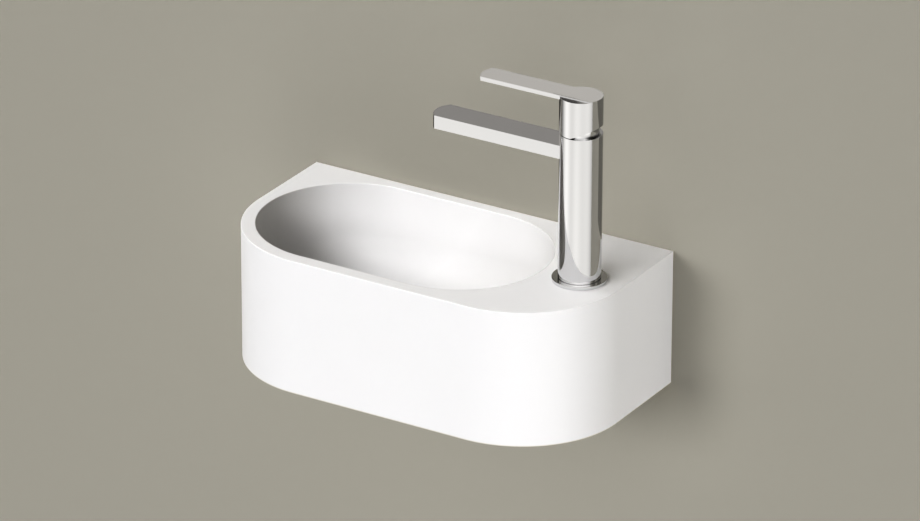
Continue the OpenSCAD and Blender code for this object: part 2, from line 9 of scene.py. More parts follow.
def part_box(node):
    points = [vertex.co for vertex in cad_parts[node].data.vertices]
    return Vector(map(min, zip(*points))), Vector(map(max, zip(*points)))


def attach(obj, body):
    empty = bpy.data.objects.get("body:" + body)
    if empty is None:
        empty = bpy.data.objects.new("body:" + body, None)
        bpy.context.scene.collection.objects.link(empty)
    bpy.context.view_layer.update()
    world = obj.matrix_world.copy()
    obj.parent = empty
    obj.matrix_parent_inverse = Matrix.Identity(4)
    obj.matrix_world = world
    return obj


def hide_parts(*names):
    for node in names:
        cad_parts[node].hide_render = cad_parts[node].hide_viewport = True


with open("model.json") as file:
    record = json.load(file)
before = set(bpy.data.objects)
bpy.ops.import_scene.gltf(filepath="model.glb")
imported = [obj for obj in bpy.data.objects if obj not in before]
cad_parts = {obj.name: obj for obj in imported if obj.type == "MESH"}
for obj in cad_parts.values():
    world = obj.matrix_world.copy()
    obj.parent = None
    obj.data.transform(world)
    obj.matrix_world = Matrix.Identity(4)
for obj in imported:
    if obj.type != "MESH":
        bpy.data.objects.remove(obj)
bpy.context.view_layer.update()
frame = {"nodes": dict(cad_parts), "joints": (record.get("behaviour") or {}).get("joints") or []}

MM = 0.001

# Photographer's camera: a long lens to the front right of the basin, looking down on it a little.
# Its place and lens come from the basin's measured outline, so the drawing and the photograph coincide.
camera_azimuth = math.radians(31.1993)
camera_elevation = math.radians(24.598)
camera_roll = math.radians(0.1746)
camera_place = Vector((2.54259, -4.25071, 2.31953))
lens_in_pixels = 6457.93
photo_width = 920
sensor_mm = 36.0
far_limit = 50


def make_camera():
    """Sets the camera up from its measured heading, roll, place and lens."""
    back = Vector((math.sin(camera_azimuth) * math.cos(camera_elevation),
                   -math.cos(camera_azimuth) * math.cos(camera_elevation),
                   math.sin(camera_elevation)))
    right = (-back).cross(Vector((0, 0, 1))).normalized()
    up = back.cross(right)
    rolled_right = right * math.cos(camera_roll) + up * math.sin(camera_roll)
    rolled_up = up * math.cos(camera_roll) - right * math.sin(camera_roll)
    data = bpy.data.cameras.new("photo_camera")
    data.sensor_width = sensor_mm
    data.lens = lens_in_pixels / photo_width * sensor_mm
    data.clip_end = far_limit
    camera = bpy.data.objects.new("photo_camera", data)
    bpy.context.collection.objects.link(camera)
    axes = Matrix((rolled_right, rolled_up, back)).transposed().to_4x4()
    camera.matrix_world = Matrix.Translation(camera_place) @ axes
    bpy.context.scene.camera = camera


make_camera()


# Basin body: one casting of white vitreous china with a satin glaze, its rim and wall edges softly rounded by the
# mould; the back, and the foot that met the kiln shelf, carry no glaze. The bowl is painted about a quarter darker
# at its left end, floor and right end. That is shade from the photograph, which the lamps alone don't give.
basin_low, basin_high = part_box("basin_shell")
rim_z = basin_high.z
base_z = basin_low.z
half_width = basin_high.x
basin_depth = -basin_low.y
front_radius = basin_depth / 2
edge_round = 0.65 * MM
corner_round = 0.5 * MM
foot_round = 0.6 * edge_round
bowl_radius = 79.5 * MM
bowl_left = Vector((-83.5 * MM, -90.5 * MM))
bowl_right = Vector((22 * MM, -90.5 * MM))
bowl_depth = 82 * MM
bowl_sweep = 40 * MM
floor_fall = 2 * MM
shell_thickness = 10 * MM
skirt_wall = 12 * MM
back_wall = 11 * MM
deck_under_z = rim_z - 13 * MM
seat_boss_radius = 36 * MM
seat_boss_depth = 10 * MM


def new_piece(name, points, faces, smooth=True):
    """A closed mesh object from its points and faces."""
    mesh = bpy.data.meshes.new(name)
    mesh.from_pydata([tuple(p) for p in points], [], faces)
    mesh.validate()
    shape = bmesh.new()
    shape.from_mesh(mesh)
    bmesh.ops.remove_doubles(shape, verts=shape.verts, dist=1e-7)
    bmesh.ops.recalc_face_normals(shape, faces=shape.faces)
    shape.to_mesh(mesh)
    shape.free()
    for polygon in mesh.polygons:
        polygon.use_smooth = smooth
    piece = bpy.data.objects.new(name, mesh)
    bpy.context.collection.objects.link(piece)
    return piece


def arc_points(centre, radius, start, stop, steps):
    """Points along an arc in plan, both ends included; angles in degrees."""
    angles = [math.radians(start + (stop - start) * i / steps) for i in range(steps + 1)]
    return [Vector((centre[0] + radius * math.cos(a), centre[1] + radius * math.sin(a))) for a in angles]


def line_points(start, stop, steps):
    """Points between two ends in plan, without the last one."""
    return [Vector(start).lerp(Vector(stop), i / steps) for i in range(steps)]


def bridge_loops(loops):
    """Quads between closed loops of equal length that follow each other."""
    count = len(loops[0])
    faces = []
    for ring in range(len(loops) - 1):
        for i in range(count):
            j = (i + 1) % count
            faces.append((ring * count + i, ring * count + j, (ring + 1) * count + j, (ring + 1) * count + i))
    return faces


# Points on each stretch of the outlines, so that the outer and the bowl's outline pair up
quarter_steps = 36
side_steps = 14
front_steps = 40
corner_steps = 5
back_end_steps = 12

# Steps up the casting's section: its small roundings, the bowl's straight wall, its sweep and its floor
foot_steps = 4
round_steps = 5
wall_steps = 6
sweep_steps = 18
floor_steps = 10
outside_steps = 14


def basin_outline(inset, corner):
    """The D-shaped plan, counterclockwise from the left end of the front, drawn in by an inset."""
    half = half_width - inset
    front = -basin_depth + inset
    radius = front_radius - inset
    back = -inset
    arc_y = -basin_depth + front_radius
    arc_x = half_width - front_radius
    points = line_points((-arc_x, front), (arc_x, front), front_steps)
    points += arc_points((arc_x, arc_y), radius, -90, 0, quarter_steps)[:-1]
    points += line_points((half, arc_y), (half, back - corner), side_steps)
    points += arc_points((half - corner, back - corner), corner, 0, 90, corner_steps)[:-1]
    points += line_points((half - corner, back), (bowl_right.x, back), back_end_steps)
    points += line_points((bowl_right.x, back), (bowl_left.x, back), front_steps)
    points += line_points((bowl_left.x, back), (-half + corner, back), back_end_steps)
    points += arc_points((-half + corner, back - corner), corner, 90, 180, corner_steps)[:-1]
    points += line_points((-half, back - corner), (-half, arc_y), side_steps)
    points += arc_points((-arc_x, arc_y), radius, 180, 270, quarter_steps)[:-1]
    return points


def bowl_outline(radius):
    """The bowl's plan with half-round ends, point for point with the basin's outline."""
    end_steps = side_steps + corner_steps + back_end_steps
    left, right = bowl_left, bowl_right
    points = line_points((left.x, left.y - radius), (right.x, right.y - radius), front_steps)
    points += arc_points(right, radius, -90, 0, quarter_steps)[:-1]
    points += arc_points(right, radius, 0, 90, end_steps)[:-1]
    points += line_points((right.x, right.y + radius), (left.x, left.y + radius), front_steps)
    points += arc_points(left, radius, 90, 180, end_steps)[:-1]
    points += arc_points(left, radius, 180, 270, quarter_steps)[:-1]
    return points


def at_height(points, z):
    return [Vector((p.x, p.y, z)) for p in points]


def quarter_turn(steps):
    """Angles from 0 to a quarter turn, both ends included."""
    return [math.pi / 2 * i / steps for i in range(steps + 1)]


waste_low, waste_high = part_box("waste_flange")
waste_axis = Vector(((waste_low.x + waste_high.x) / 2, (waste_low.y + waste_high.y) / 2))
seat_radius = 33 * MM
seat_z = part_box("waste_top_gasket")[0].z
drain_radius = 23 * MM
floor_z = rim_z - bowl_depth


def circle_like(outline, centre, radius):
    """A circle whose points lie in the same directions as an outline's points, evenly spread."""
    count = len(outline)
    first = outline[0] - centre
    start = math.degrees(math.atan2(first.y, first.x))
    return arc_points(centre, radius, start, start + 360, count)[:-1]


def basin_block():
    """The casting with its bowl and waste hole, still solid underneath."""
    loops = []
    for turn in quarter_turn(foot_steps):
        loops.append(at_height(basin_outline(foot_round * (1 - math.sin(turn)), corner_round),
                               base_z + foot_round * (1 - math.cos(turn))))
    for turn in quarter_turn(round_steps):
        loops.append(at_height(basin_outline(edge_round * (1 - math.cos(turn)), corner_round),
                               rim_z - edge_round * (1 - math.sin(turn))))
    for turn in quarter_turn(round_steps):
        loops.append(at_height(bowl_outline(bowl_radius + edge_round * (1 - math.sin(turn))),
                               rim_z - edge_round * (1 - math.cos(turn))))
    wall_top = rim_z - edge_round
    sweep_z = floor_z + bowl_sweep
    for i in range(1, wall_steps):
        loops.append(at_height(bowl_outline(bowl_radius), wall_top + (sweep_z - wall_top) * i / wall_steps))
    for turn in quarter_turn(sweep_steps):
        loops.append(at_height(bowl_outline(bowl_radius - bowl_sweep * (1 - math.cos(turn))),
                               sweep_z - bowl_sweep * math.sin(turn)))
    flat = bowl_outline(bowl_radius - bowl_sweep)
    seat = circle_like(flat, waste_axis, seat_radius)
    for i in range(1, floor_steps + 1):
        share = i / floor_steps
        fall = floor_fall * share * share * (3 - 2 * share)
        loops.append(at_height([a.lerp(b, share) for a, b in zip(flat, seat)], floor_z - fall))
    loops.append(at_height(seat, seat_z))
    hole = circle_like(flat, waste_axis, drain_radius)
    loops.append(at_height(hole, seat_z))
    loops.append(at_height(hole, base_z))
    points = [p for loop in loops for p in loop]
    faces = bridge_loops(loops)
    count = len(flat)
    last = (len(loops) - 1) * count
    faces += [(last + i, last + (i + 1) % count, (i + 1) % count, i) for i in range(count)]
    return new_piece("basin_glazed", points, faces)


def box_outline(left, right, front, back):
    """A rectangle in plan."""
    return [Vector((left, front)), Vector((right, front)), Vector((right, back)), Vector((left, back))]


def prism(name, outline, low, high):
    """A plain upright solid over an outline, used to cut or join."""
    count = len(outline)
    points = at_height(outline, low) + at_height(outline, high)
    faces = [(i, (i + 1) % count, count + (i + 1) % count, count + i) for i in range(count)]
    faces += [tuple(reversed(range(count))), tuple(range(count, 2 * count))]
    return new_piece(name, points, faces)


def combine(piece, other, how):
    """Cuts or joins a piece with another, which is used up."""
    step = piece.modifiers.new(how.lower(), "BOOLEAN")
    step.operation = how
    step.solver = "EXACT"
    step.object = other
    settle(piece)
    bpy.data.objects.remove(other, do_unlink=True)


def cut(piece, other):
    combine(piece, other, "DIFFERENCE")


def unite(piece, other):
    combine(piece, other, "UNION")


def settle(piece):
    """Turns a piece's modifiers into plain mesh."""
    graph = bpy.context.evaluated_depsgraph_get()
    mesh = bpy.data.meshes.new_from_object(piece.evaluated_get(graph))
    piece.modifiers.clear()
    old = piece.data
    piece.data = mesh
    bpy.data.meshes.remove(old)


def bowl_outside():
    """The bowl's shell from outside, which stays when the casting is hollowed from below."""
    loops = [at_height(bowl_outline(bowl_radius + shell_thickness), rim_z + shell_thickness)]
    outer_sweep = bowl_sweep + shell_thickness
    sweep_z = floor_z + bowl_sweep
    for turn in quarter_turn(outside_steps):
        loops.append(at_height(bowl_outline(bowl_radius + shell_thickness - outer_sweep * (1 - math.cos(turn))),
                               sweep_z - outer_sweep * math.sin(turn)))
    points = [p for loop in loops for p in loop]
    count = len(loops[0])
    last = (len(loops) - 1) * count
    faces = bridge_loops(loops) + [tuple(range(count)), tuple(reversed(range(last, last + count)))]
    return new_piece("bowl_outside", points, faces)


def inner_outline():
    """Inside of the skirt in plan."""
    half = half_width - skirt_wall
    radius = front_radius - skirt_wall
    arc_y = -basin_depth + front_radius
    arc_x = half_width - front_radius
    points = arc_points((-arc_x, arc_y), radius, 180, 270, quarter_steps)
    points += arc_points((arc_x, arc_y), radius, -90, 0, quarter_steps)
    points += [Vector((half, -back_wall)), Vector((-half, -back_wall))]
    return points


def round_bar(name, centre, radius, low, high, steps=96):
    return prism(name, arc_points(centre, radius, 0, 360, steps)[:-1], low, high)


tap_low, tap_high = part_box("tap_body")
tap_axis = Vector(((tap_low.x + tap_high.x) / 2, (tap_low.y + tap_high.y) / 2))
tap_hole_radius = 17.5 * MM
bolt_half_spacing = 110 * MM
bolt_radius = 6 * MM
past = 2 * MM  # how far a cutting shape reaches past the face it cuts


def cast_basin():
    basin = basin_block()
    hollow = prism("hollow", inner_outline(), base_z - past, deck_under_z)
    cut(hollow, bowl_outside())
    cut(hollow, round_bar("boss", waste_axis, seat_boss_radius, seat_z - seat_boss_depth, floor_z))
    cut(basin, hollow)
    cut(basin, round_bar("tap_hole", tap_axis, tap_hole_radius, deck_under_z - past, rim_z + past))
    for side in (-1, 1):
        bolt = round_bar("bolt_hole", (0, 0), bolt_radius, -past, back_wall + past, 48)
        place = Matrix.Translation((side * bolt_half_spacing, 0, 0))
        bolt.data.transform(place @ Matrix.Rotation(math.pi / 2, 4, "X"))
        cut(basin, bolt)
    return basin


sharp_angle = math.radians(32)


def even_shading(piece):
    """Keeps broad faces flat and rounded edges soft."""
    piece.data.set_sharp_from_angle(angle=sharp_angle)
    normals = piece.modifiers.new("even_shading", "WEIGHTED_NORMAL")
    normals.keep_sharp = True
    normals.weight = 100


class Wire:
    """A shader socket that can be reckoned with in plain Python."""

    def __init__(self, tree, socket):
        self.tree = tree
        self.socket = socket

    def __add__(self, other):
        return reckon(self.tree, "ADD", self, other)

    def __radd__(self, other):
        return reckon(self.tree, "ADD", other, self)

    def __sub__(self, other):
        return reckon(self.tree, "SUBTRACT", self, other)

    def __rsub__(self, other):
        return reckon(self.tree, "SUBTRACT", other, self)

    def __mul__(self, other):
        return reckon(self.tree, "MULTIPLY", self, other)

    def __rmul__(self, other):
        return reckon(self.tree, "MULTIPLY", other, self)

    def over(self, low, high):
        """0 below low, 1 above high and even in between."""
        return add_node(self.tree, "ShaderNodeMapRange", {"clamp": True},
                        {"Value": self, "From Min": low, "From Max": high})


def add_node(tree, kind, settings=None, inputs=None, output=0):
    """Adds a node: its settings first, then the values or wires of its sockets."""
    node = tree.nodes.new(kind)
    for name, value in (settings or {}).items():
        setattr(node, name, value)
    for name, value in (inputs or {}).items():
        if isinstance(value, Wire):
            tree.links.new(value.socket, node.inputs[name])
        else:
            node.inputs[name].default_value = value
    return Wire(tree, node.outputs[output])


def reckon(tree, operation, *values):
    """A maths node over numbers and wires."""
    return add_node(tree, "ShaderNodeMath", {"operation": operation}, dict(enumerate(values)))


def mix_colours(tree, share, first, second):
    return add_node(tree, "ShaderNodeMix", {"data_type": "RGBA"}, {0: share, 6: first, 7: second}, 2)


def start_material(name, **constants):
    """A material with a Principled shader; returns the material, its tree and the shader."""
    material = bpy.data.materials.new(name)
    material.use_nodes = True
    tree = material.node_tree
    shader = tree.nodes["Principled BSDF"]
    for socket, value in constants.items():
        shader.inputs[socket.replace("_", " ")].default_value = value
    return material, tree, shader


def object_place(tree):
    return add_node(tree, "ShaderNodeTexCoord", output=3)


def cloud(tree, size, detail=3, roughness=0.55):
    """Soft noise whose lumps are about as large as the size given in metres."""
    return add_node(tree, "ShaderNodeTexNoise", {"noise_dimensions": "3D"},
                    {"Vector": object_place(tree), "Scale": 1 / size, "Detail": detail, "Roughness": roughness})


def feed(tree, shader, socket, wire):
    tree.links.new(wire.socket, shader.inputs[socket])


def bump(tree, height, depth):
    return add_node(tree, "ShaderNodeBump", {}, {"Height": height, "Distance": depth, "Strength": 1.0})


def split(tree, vector):
    node = tree.nodes.new("ShaderNodeSeparateXYZ")
    tree.links.new(vector.socket, node.inputs[0])
    return [Wire(tree, node.outputs[i]) for i in range(3)]


# Each finish varies between the two colours of its pair; left_shade and right_shade are painted shade in the bowl
plain_glaze = (0.795, 0.790, 0.795, 1), (0.812, 0.806, 0.811, 1)
left_shade = (0.605, 0.598, 0.590, 1), (0.619, 0.612, 0.604, 1)
right_shade = (0.595, 0.587, 0.580, 1)
bare_clay = (0.62, 0.59, 0.53, 1), (0.74, 0.71, 0.65, 1)
left_fade = 30 * MM


def from_bowl_line(tree, x, y):
    """Distance in plan from the line between the centres of the bowl's round ends."""
    middle_x, half_run = (bowl_left.x + bowl_right.x) / 2, (bowl_right.x - bowl_left.x) / 2
    past_run = reckon(tree, "MAXIMUM", reckon(tree, "ABSOLUTE", x - middle_x) - half_run, 0.0)
    off_line = y - bowl_left.y
    return reckon(tree, "SQRT", past_run * past_run + off_line * off_line), off_line


def glaze():
    material, tree, shader = start_material("satin_glaze", Specular_IOR_Level=0.42, Coat_Roughness=0.22)
    x, y, z = split(tree, object_place(tree))
    unglazed_foot = 1 - z.over(base_z + 0.2 * MM, base_z + 1.4 * MM)
    unglazed_back = y.over(-1.2 * MM, -0.3 * MM)
    bare = reckon(tree, "MAXIMUM", unglazed_foot, unglazed_back)
    drift = cloud(tree, 90 * MM, 2)
    plain = mix_colours(tree, drift, *plain_glaze)
    # Painted shade: inside the bowl the colour darkens toward its left end, its floor and its right end.
    off_centre, off_line = from_bowl_line(tree, x, y)
    in_bowl = 1 - off_centre.over(bowl_radius + 0.5 * MM, bowl_radius + 0.9 * MM)
    rightward = (x - off_line + 0.6 * (rim_z - z)).over(bowl_left.x + 5 * MM, bowl_right.x + 25 * MM)
    shaded = mix_colours(tree, rightward, plain, right_shade)
    leftward = 1 - (off_line + 0.5 * (x - bowl_left.x)).over(-left_fade, left_fade)
    shaded = mix_colours(tree, leftward, shaded, mix_colours(tree, drift, *left_shade))
    glaze_with_painted_shade = mix_colours(tree, in_bowl, plain, shaded)
    clay = mix_colours(tree, cloud(tree, 0.6 * MM, 2), *bare_clay)
    feed(tree, shader, "Base Color", mix_colours(tree, bare, glaze_with_painted_shade, clay))
    satin = 0.40 + 0.10 * cloud(tree, 14 * MM, 3)
    feed(tree, shader, "Roughness", satin + 0.35 * bare)
    orange_peel = cloud(tree, 5 * MM, 2) + 0.25 * cloud(tree, 0.5 * MM, 2)
    feed(tree, shader, "Normal", bump(tree, orange_peel, 0.02 * MM))
    return material


basin = cast_basin()
even_shading(basin)
basin.data.materials.clear()
basin.data.materials.append(glaze())
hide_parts("basin_shell")
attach(basin, "basin")


# Basin waste: a chromed brass flange in the bowl's recess, with a threaded tail through the floor and a
# lift-out cover above it. Below, a rubber gasket, a slip washer and a brass back nut clamp it to the china.
flange_low, flange_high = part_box("waste_flange")
flange_seat_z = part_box("waste_top_gasket")[1].z
flange_radius = (flange_high.x - flange_low.x) / 2
tail_radius = 20.95 * MM
tail_bore = 17.5 * MM
tail_thread_pitch = 2.31 * MM
tail_thread_depth = 1.0 * MM
hub_radius = 6 * MM
hub_height = 10 * MM
hub_top_z = flange_seat_z - 3 * MM
hub_low_z = hub_top_z - hub_height
stem_hole_radius = 3.05 * MM
spoke_width = 3 * MM
spoke_overlap = 1 * MM
cover_low, cover_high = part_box("waste_cover")
cover_radius = (cover_high.x - cover_low.x) / 2
cover_rim_z = cover_high.z - 2.8 * MM
cover_stem_radius = 3 * MM
cover_seat_z = hub_top_z + 0.2 * MM


def filleted(corners, steps=4):
    """A closed section of (radius, height, fillet) corners as points, each corner rounded by its fillet."""
    section = []
    count = len(corners)
    for i, (r, z, fillet) in enumerate(corners):
        here = Vector((r, z))
        before = Vector(corners[i - 1][:2]) - here
        after = Vector(corners[(i + 1) % count][:2]) - here
        if fillet == 0:
            section.append(here)
            continue
        half = before.angle(after) / 2
        reach = fillet / math.tan(half)
        centre = here + (before.normalized() + after.normalized()).normalized() * fillet / math.sin(half)
        first = here + before.normalized() * reach - centre
        last = here + after.normalized() * reach - centre
        turn = first.angle_signed(last)
        for k in range(steps + 1):
            section.append(centre + Matrix.Rotation(-turn * k / steps, 2) @ first)
    return section


def turned(name, axis, corners, steps=128, fillet_steps=4):
    """A piece turned on a lathe from its closed section; corners are (radius, height, fillet)."""
    section = filleted(corners, fillet_steps)
    points = []
    for i in range(steps):
        turn = 2 * math.pi * i / steps
        points += [Vector((axis.x + p.x * math.cos(turn), axis.y + p.x * math.sin(turn), p.y)) for p in section]
    count = len(section)
    faces = []
    for i in range(steps):
        j = (i + 1) % steps
        for k in range(count):
            m = (k + 1) % count
            if section[k].x < 1e-7 and section[m].x < 1e-7:
                continue
            faces.append((i * count + k, j * count + k, j * count + m, i * count + m))
    return new_piece(name, points, faces)


def broken_edges(piece, width):
    """Breaks the edges of a piece as polishing does, and keeps the faces between them even."""
    bevel = piece.modifiers.new("broken_edges", "BEVEL")
    bevel.width = width
    bevel.segments = 3
    bevel.limit_method = "ANGLE"
    bevel.angle_limit = math.radians(30)
    bevel.harden_normals = True


def finish_piece(piece, material, body, *nodes):
    """Gives a piece its material and even shading, lets it ride, and hides the solids it stands for."""
    piece.data.materials.clear()
    piece.data.materials.append(material)
    for polygon in piece.data.polygons:
        polygon.use_smooth = True
    even_shading(piece)
    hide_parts(*nodes)
    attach(piece, body)


rows_per_pitch = 6


def threaded(name, axis, radius, bore, low, high, thread_high, pitch, depth, steps=96):
    """A tube or a bar with a cut thread from its lower end up to thread_high; a bar has a bore of 0."""
    rows = int((high - low) / (pitch / rows_per_pitch))
    points = []
    for k in range(rows + 1):
        z = low + (high - low) * k / rows
        run_in = min(1, max(0, (z - low) / pitch), max(0, (thread_high - z) / pitch))
        for i in range(steps):
            wave = abs((((z - low) / pitch - i / steps) % 1) * 2 - 1)
            chamfer = depth * max(0, 1 - (z - low) / pitch)
            r = radius - depth * wave * run_in - chamfer
            turn = 2 * math.pi * i / steps
            points.append(Vector((axis.x + r * math.cos(turn), axis.y + r * math.sin(turn), z)))
    faces = []
    for k in range(rows):
        for i in range(steps):
            j = (i + 1) % steps
            faces.append((k * steps + i, k * steps + j, (k + 1) * steps + j, (k + 1) * steps + i))
    if bore:
        start = len(points)
        for z in (low, high):
            points += [Vector((axis.x + bore * math.cos(2 * math.pi * i / steps),
                               axis.y + bore * math.sin(2 * math.pi * i / steps), z)) for i in range(steps)]
        top = rows * steps
        for i in range(steps):
            j = (i + 1) % steps
            faces.append((i, start + i, start + j, j))
            faces.append((start + i, start + steps + i, start + steps + j, start + j))
            faces.append((top + i, top + j, start + steps + j, start + steps + i))
    else:
        faces.append(tuple(reversed(range(steps))))
        faces.append(tuple(range(rows * steps, (rows + 1) * steps)))
    return new_piece(name, points, faces)


def joined(pieces, name):
    """Several closed shapes kept as one mesh."""
    shape = bmesh.new()
    for piece in pieces:
        shape.from_mesh(piece.data)
    mesh = bpy.data.meshes.new(name)
    shape.to_mesh(mesh)
    shape.free()
    for piece in pieces:
        bpy.data.objects.remove(piece, do_unlink=True)
    whole = bpy.data.objects.new(name, mesh)
    bpy.context.collection.objects.link(whole)
    return whole


def chrome_plate():
    material, tree, shader = start_material("polished_chrome", Metallic=1.0)
    drift = cloud(tree, 25 * MM, 3)
    feed(tree, shader, "Base Color",
         mix_colours(tree, drift, (0.739, 0.740, 0.748, 1), (0.753, 0.754, 0.763, 1)))
    smear = cloud(tree, 9 * MM, 4, 0.6)
    feed(tree, shader, "Roughness", 0.030 + 0.025 * smear)
    feed(tree, shader, "Normal", bump(tree, cloud(tree, 6 * MM, 2), 0.002 * MM))
    return material


def soft_rubber():
    material, tree, shader = start_material("black_rubber", Specular_IOR_Level=0.35)
    grain = cloud(tree, 0.5 * MM, 3)
    feed(tree, shader, "Base Color",
         mix_colours(tree, grain, (0.018, 0.018, 0.018, 1), (0.035, 0.034, 0.033, 1)))
    feed(tree, shader, "Roughness", 0.55 + 0.25 * grain)
    feed(tree, shader, "Normal", bump(tree, grain, 0.03 * MM))
    return material


def moulded_plastic():
    material, tree, shader = start_material("white_plastic", Specular_IOR_Level=0.5)
    drift = cloud(tree, 8 * MM, 2)
    feed(tree, shader, "Base Color", mix_colours(tree, drift, (0.70, 0.70, 0.67, 1), (0.76, 0.76, 0.74, 1)))
    grain = cloud(tree, 0.35 * MM, 2)
    feed(tree, shader, "Roughness", 0.38 + 0.15 * grain)
    feed(tree, shader, "Normal", bump(tree, grain, 0.01 * MM))
    return material


def turned_brass():
    material, tree, shader = start_material("turned_brass", Metallic=1.0)
    drift = cloud(tree, 6 * MM, 3)
    feed(tree, shader, "Base Color", mix_colours(tree, drift, (0.60, 0.49, 0.30, 1), (0.70, 0.59, 0.39, 1)))
    feed(tree, shader, "Roughness", 0.22 + 0.18 * cloud(tree, 2 * MM, 3))
    feed(tree, shader, "Normal", bump(tree, cloud(tree, 0.3 * MM, 2), 0.006 * MM))
    return material


def dress(node, material, edge=0.15 * MM):
    """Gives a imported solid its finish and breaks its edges."""
    solid = frame["nodes"][node]
    solid.data.materials.clear()
    solid.data.materials.append(material)
    weld = solid.modifiers.new("joined_points", "WELD")
    weld.merge_threshold = 1e-6
    broken_edges(solid, edge)


chrome = chrome_plate()
rubber = soft_rubber()
plastic = moulded_plastic()
brass = turned_brass()

flange_disc = turned("flange_disc", waste_axis, [
    (tail_bore, flange_seat_z, 0), (flange_radius, flange_seat_z, 0.3 * MM),
    (flange_radius, flange_high.z - 0.9 * MM, 0.4 * MM), (flange_radius - 3 * MM, flange_high.z, 1.5 * MM),
    (tail_bore, flange_high.z, 0.8 * MM)])
tail = threaded("tail", waste_axis, tail_radius, tail_bore, flange_low.z, flange_seat_z + 0.1 * MM,
                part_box("waste_nut")[0].z - 2 * MM, tail_thread_pitch, tail_thread_depth)
hub = turned("hub", waste_axis, [
    (stem_hole_radius, hub_low_z, 0.3 * MM), (hub_radius, hub_low_z, 0.6 * MM),
    (hub_radius, hub_top_z, 0.6 * MM), (stem_hole_radius, hub_top_z, 0.3 * MM)])
spoke_outline = box_outline(hub_radius - spoke_overlap, tail_bore + spoke_overlap,
                            -spoke_width / 2, spoke_width / 2)
spokes = []
for i in range(3):
    spoke = prism("spoke", spoke_outline, hub_low_z, hub_top_z - 2 * MM)
    spoke.data.transform(Matrix.Translation(waste_axis.to_3d()) @ Matrix.Rotation(2 * math.pi * i / 3, 4, "Z"))
    spokes.append(spoke)
waste = joined([flange_disc, tail, hub] + spokes, "waste_flange_and_tail")
finish_piece(waste, chrome, "basin", "waste_flange")

cover = turned("waste_cover_dome", waste_axis, [
    (0, cover_low.z, 0), (cover_stem_radius, cover_low.z, 0.5 * MM), (cover_stem_radius, cover_seat_z, 0),
    (hub_radius - 0.5 * MM, cover_seat_z, 0.3 * MM), (hub_radius - 0.5 * MM, cover_rim_z, 0.6 * MM),
    (cover_radius, cover_rim_z, 0.3 * MM), (cover_radius, cover_rim_z + 1.6 * MM, 0.7 * MM),
    (cover_radius * 0.72, cover_rim_z + 2.13 * MM, 8 * MM), (cover_radius * 0.4, cover_rim_z + 2.59 * MM, 8 * MM),
    (0, cover_high.z, 0)])
finish_piece(cover, chrome, "cover", "waste_cover")

dress("waste_top_gasket", rubber)
dress("waste_under_gasket", rubber, 0.3 * MM)
dress("waste_washer", plastic)
dress("waste_nut", brass, 0.4 * MM)


# Tap column: one chromed brass body, turned, with a fine dark joint above the low ring that hides the
# deck hole. Two hose inlets and the stud's thread lie in its underside.
ring_low, ring_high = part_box("base_ring")
ring_radius = (ring_high.x - ring_low.x) / 2
column_radius = (tap_high.x - tap_low.x) / 2
spigot_radius = 15.9 * MM
hose_hole_x, hose_hole_y = 5 * MM, 7.5 * MM
hose_hole_radius = 4.75 * MM
hose_hole_depth = 12 * MM
way_x, way_y = 4 * MM, 6 * MM
way_radius = 2.5 * MM
stud_hole_x = -8 * MM
stud_hole_radius = 4.05 * MM
stud_hole_depth = 10 * MM
joint_height = 0.4 * MM
joint_depth = 0.8 * MM
chamber_radius = 14.2 * MM
chamber_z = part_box("inlet_seals")[0].z
column = turned("tap_column", tap_axis, [
    (0, tap_low.z, 0), (spigot_radius, tap_low.z, 0.5 * MM), (spigot_radius, ring_high.z, 0),
    (column_radius - joint_depth, ring_high.z, 0), (column_radius - joint_depth, ring_high.z + joint_height, 0),
    (column_radius, ring_high.z + joint_height, 0.15 * MM), (column_radius, tap_high.z, 0.35 * MM),
    (chamber_radius, tap_high.z, 0.4 * MM), (chamber_radius, chamber_z, 0), (0, chamber_z, 0)], steps=144)
for side in (-1, 1):
    hose_axis = tap_axis + Vector((hose_hole_x, side * hose_hole_y))
    cut(column, round_bar("inlet", hose_axis, hose_hole_radius, tap_low.z - past, tap_low.z + hose_hole_depth, 48))
    way_axis = tap_axis + Vector((way_x, side * way_y))
    cut(column, round_bar("way", way_axis, way_radius, tap_low.z + hose_hole_depth - 1 * MM, chamber_z + past, 32))
stud_hole_axis = tap_axis + Vector((stud_hole_x, 0))
cut(column, round_bar("stud_hole", stud_hole_axis, stud_hole_radius, tap_low.z - past,
                      tap_low.z + stud_hole_depth, 48))
finish_piece(column, chrome, "basin", "tap_body")

groove_out = ring_radius - 2 * MM
groove_in = ring_radius - 5 * MM
groove_z = ring_low.z + 1.8 * MM
ring_bore = spigot_radius + 0.1 * MM
ring = turned("foot_ring", tap_axis, [
    (ring_bore, ring_low.z, 0.1 * MM), (groove_in, ring_low.z, 0), (groove_in, groove_z, 0),
    (groove_out, groove_z, 0), (groove_out, ring_low.z, 0), (ring_radius, ring_low.z, 0.2 * MM),
    (ring_radius, ring_high.z, 0.5 * MM), (ring_bore, ring_high.z, 0.2 * MM)], steps=144, fillet_steps=8)
finish_piece(ring, chrome, "basin", "base_ring")
dress("base_seal", rubber)


# Spout: a flat square-edged bar brazed into the column, with a flush aerator in the underside of its tip.
spout_low, spout_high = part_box("spout")
spout_half = (spout_high.y - spout_low.y) / 2
spout_reach = tap_axis.x - spout_low.x
tip_radius = 18 * MM
aerator_radius = 9.25 * MM
channel_height = 6 * MM
braze_depth = 0.3 * MM


def bar_outline(reach, half, end, tip_steps=24):
    """Plan of a flat bar that leaves the tap's axis to the left and ends in a shallow arc."""
    tip = tap_axis.x - reach + tip_radius
    spread = math.degrees(math.asin(half / tip_radius))
    points = arc_points((tip, tap_axis.y), tip_radius, 180 - spread, 180 + spread, tip_steps)
    return points + [Vector((end, tap_axis.y - half)), Vector((end, tap_axis.y + half))]


